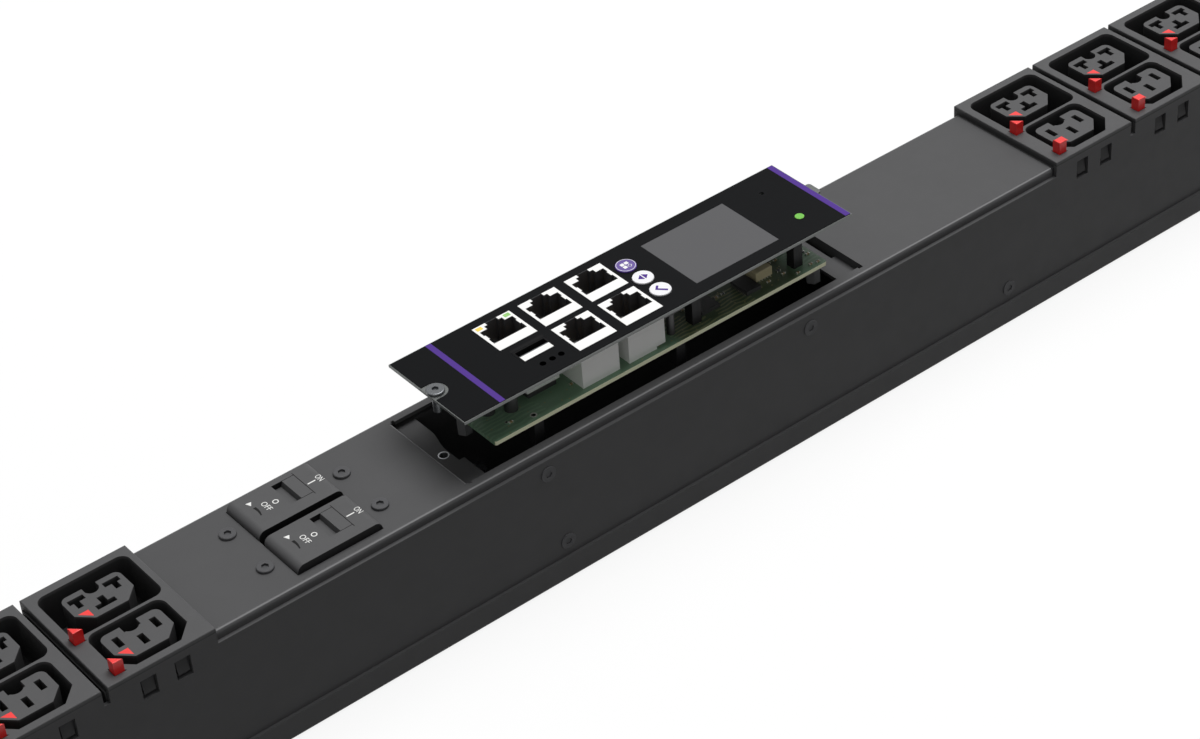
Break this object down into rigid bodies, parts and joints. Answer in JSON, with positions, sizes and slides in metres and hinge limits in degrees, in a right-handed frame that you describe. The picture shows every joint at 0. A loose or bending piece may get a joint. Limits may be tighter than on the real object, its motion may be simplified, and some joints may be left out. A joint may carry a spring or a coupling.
{
  "type": "rack power distribution unit",
  "caption": "Slim vertical rack power strip with keyed locking outlets, rocker breakers and a lift-out network controller with display and modular sockets.",
  "frame": {"origin": "middle of the flat back face, at half the housing's length", "axes": "+X along the unit away from the cable gland, +Z out of the outlet side, +Y across"},
  "size_m": [0.6914, 0.0574, 0.0843],
  "materials": {
    "powder_coated_steel": "satin powder coat",
    "zinc_plated_steel": "zinc plated",
    "outlet_plastic": "moulded, matt",
    "red_plastic": "moulded, semi-gloss",
    "brass": "plain",
    "breaker_plastic": "moulded, matt",
    "black_steel": "black coated",
    "black_plastic": "moulded, matt",
    "overlay_film": "printed film",
    "display_panel": "unlit panel",
    "purple_key": "printed key",
    "white_plastic": "moulded",
    "green_board": "solder mask",
    "bright_steel": "nickel plated",
    "lamp_lens": "tinted lens"
  },
  "bodies": {
    "housing": {"base_channel": "powder_coated_steel", "back_cover": "powder_coated_steel", "front_cover": "powder_coated_steel", "end_lid_left": "powder_coated_steel", "end_lid_right": "powder_coated_steel", "anchor_nut": "zinc_plated_steel", "side_nuts": "zinc_plated_steel", "mounting_nuts": "zinc_plated_steel", "outlet_block_1": "outlet_plastic", "outlet_block_2": "outlet_plastic", "outlet_block_3": "outlet_plastic", "outlet_block_4": "outlet_plastic", "outlet_block_5": "outlet_plastic", "outlet_block_6": "outlet_plastic", "lock_pins": "red_plastic", "contact_clips": "brass", "live_bus_bar": "brass", "earth_bus_bar": "brass", "neutral_bus_bar": "brass", "circuit_breaker_a": "breaker_plastic", "circuit_breaker_b": "breaker_plastic", "breaker_screws": "black_steel", "side_screws": "black_steel", "end_cap_left": "black_plastic", "end_cap_right": "black_plastic", "cable_gland": "black_plastic", "gland_lock_nut": "black_plastic", "terminal_block": "black_plastic"},
    "controller": {"controller_faceplate": "black_steel", "controller_overlay": "overlay_film", "display_module": "display_panel", "key_switches": "black_plastic", "circuit_board": "green_board", "board_supports": "zinc_plated_steel", "board_parts": "black_plastic", "ethernet_jack": "white_plastic", "link_in_jack": "white_plastic", "sensor_jack_1": "white_plastic", "link_out_jack": "white_plastic", "sensor_jack_2": "white_plastic", "usb_socket": "bright_steel", "light_pipes": "lamp_lens", "captive_screw": "black_steel"},
    "menu_key": {"menu_key": "purple_key"},
    "scroll_key": {"scroll_key": "white_plastic"},
    "select_key": {"select_key": "white_plastic"},
    "breaker_rocker_a": {"breaker_rocker_a": "breaker_plastic"},
    "breaker_rocker_b": {"breaker_rocker_b": "breaker_plastic"},
    "narrow_release_1": {"narrow_release_1": "red_plastic"},
    "narrow_release_2": {"narrow_release_2": "red_plastic"},
    "narrow_release_3": {"narrow_release_3": "red_plastic"},
    "narrow_release_4": {"narrow_release_4": "red_plastic"},
    "narrow_release_5": {"narrow_release_5": "red_plastic"},
    "narrow_release_6": {"narrow_release_6": "red_plastic"},
    "wide_release_1": {"wide_release_1": "red_plastic"},
    "wide_release_2": {"wide_release_2": "red_plastic"},
    "wide_release_3": {"wide_release_3": "red_plastic"},
    "wide_release_4": {"wide_release_4": "red_plastic"},
    "wide_release_5": {"wide_release_5": "red_plastic"},
    "wide_release_6": {"wide_release_6": "red_plastic"}
  },
  "joints": [
    {"name": "controller_lift", "type": "slide", "parent": "housing", "child": "controller", "axis": [0, 0, 1], "range_m": [-0.0268, 0.01]},
    {"name": "menu_key_press", "type": "slide", "parent": "controller", "child": "menu_key", "axis": [0, 0, -1], "range_m": [0, 0.0004], "stiffness_N_per_m": 600, "springref_m": -0.0005},
    {"name": "scroll_key_press", "type": "slide", "parent": "controller", "child": "scroll_key", "axis": [0, 0, -1], "range_m": [0, 0.0004], "stiffness_N_per_m": 600, "springref_m": -0.0005},
    {"name": "select_key_press", "type": "slide", "parent": "controller", "child": "select_key", "axis": [0, 0, -1], "range_m": [0, 0.0004], "stiffness_N_per_m": 600, "springref_m": -0.0005},
    {"name": "breaker_rocker_a_turn", "type": "hinge", "parent": "housing", "child": "breaker_rocker_a", "pos_m": [-0.1311, 0.0129, 0.0597], "axis": [0, -1, 0], "range_deg": [0, 12]},
    {"name": "breaker_rocker_b_turn", "type": "hinge", "parent": "housing", "child": "breaker_rocker_b", "pos_m": [-0.1311, -0.0099, 0.0597], "axis": [0, -1, 0], "range_deg": [0, 12]},
    {"name": "narrow_release_1_press", "type": "slide", "parent": "housing", "child": "narrow_release_1", "axis": [0, 0, -1], "range_m": [0, 0.002], "stiffness_N_per_m": 400, "springref_m": -0.001},
    {"name": "narrow_release_2_press", "type": "slide", "parent": "housing", "child": "narrow_release_2", "axis": [0, 0, -1], "range_m": [0, 0.002], "stiffness_N_per_m": 400, "springref_m": -0.001},
    {"name": "narrow_release_3_press", "type": "slide", "parent": "housing", "child": "narrow_release_3", "axis": [0, 0, -1], "range_m": [0, 0.002], "stiffness_N_per_m": 400, "springref_m": -0.001},
    {"name": "narrow_release_4_press", "type": "slide", "parent": "housing", "child": "narrow_release_4", "axis": [0, 0, -1], "range_m": [0, 0.002], "stiffness_N_per_m": 400, "springref_m": -0.001},
    {"name": "narrow_release_5_press", "type": "slide", "parent": "housing", "child": "narrow_release_5", "axis": [0, 0, -1], "range_m": [0, 0.002], "stiffness_N_per_m": 400, "springref_m": -0.001},
    {"name": "narrow_release_6_press", "type": "slide", "parent": "housing", "child": "narrow_release_6", "axis": [0, 0, -1], "range_m": [0, 0.002], "stiffness_N_per_m": 400, "springref_m": -0.001},
    {"name": "wide_release_1_press", "type": "slide", "parent": "housing", "child": "wide_release_1", "axis": [0, 0, -1], "range_m": [0, 0.002], "stiffness_N_per_m": 400, "springref_m": -0.001},
    {"name": "wide_release_2_press", "type": "slide", "parent": "housing", "child": "wide_release_2", "axis": [0, 0, -1], "range_m": [0, 0.002], "stiffness_N_per_m": 400, "springref_m": -0.001},
    {"name": "wide_release_3_press", "type": "slide", "parent": "housing", "child": "wide_release_3", "axis": [0, 0, -1], "range_m": [0, 0.002], "stiffness_N_per_m": 400, "springref_m": -0.001},
    {"name": "wide_release_4_press", "type": "slide", "parent": "housing", "child": "wide_release_4", "axis": [0, 0, -1], "range_m": [0, 0.002], "stiffness_N_per_m": 400, "springref_m": -0.001},
    {"name": "wide_release_5_press", "type": "slide", "parent": "housing", "child": "wide_release_5", "axis": [0, 0, -1], "range_m": [0, 0.002], "stiffness_N_per_m": 400, "springref_m": -0.001},
    {"name": "wide_release_6_press", "type": "slide", "parent": "housing", "child": "wide_release_6", "axis": [0, 0, -1], "range_m": [0, 0.002], "stiffness_N_per_m": 400, "springref_m": -0.001}
  ]
}
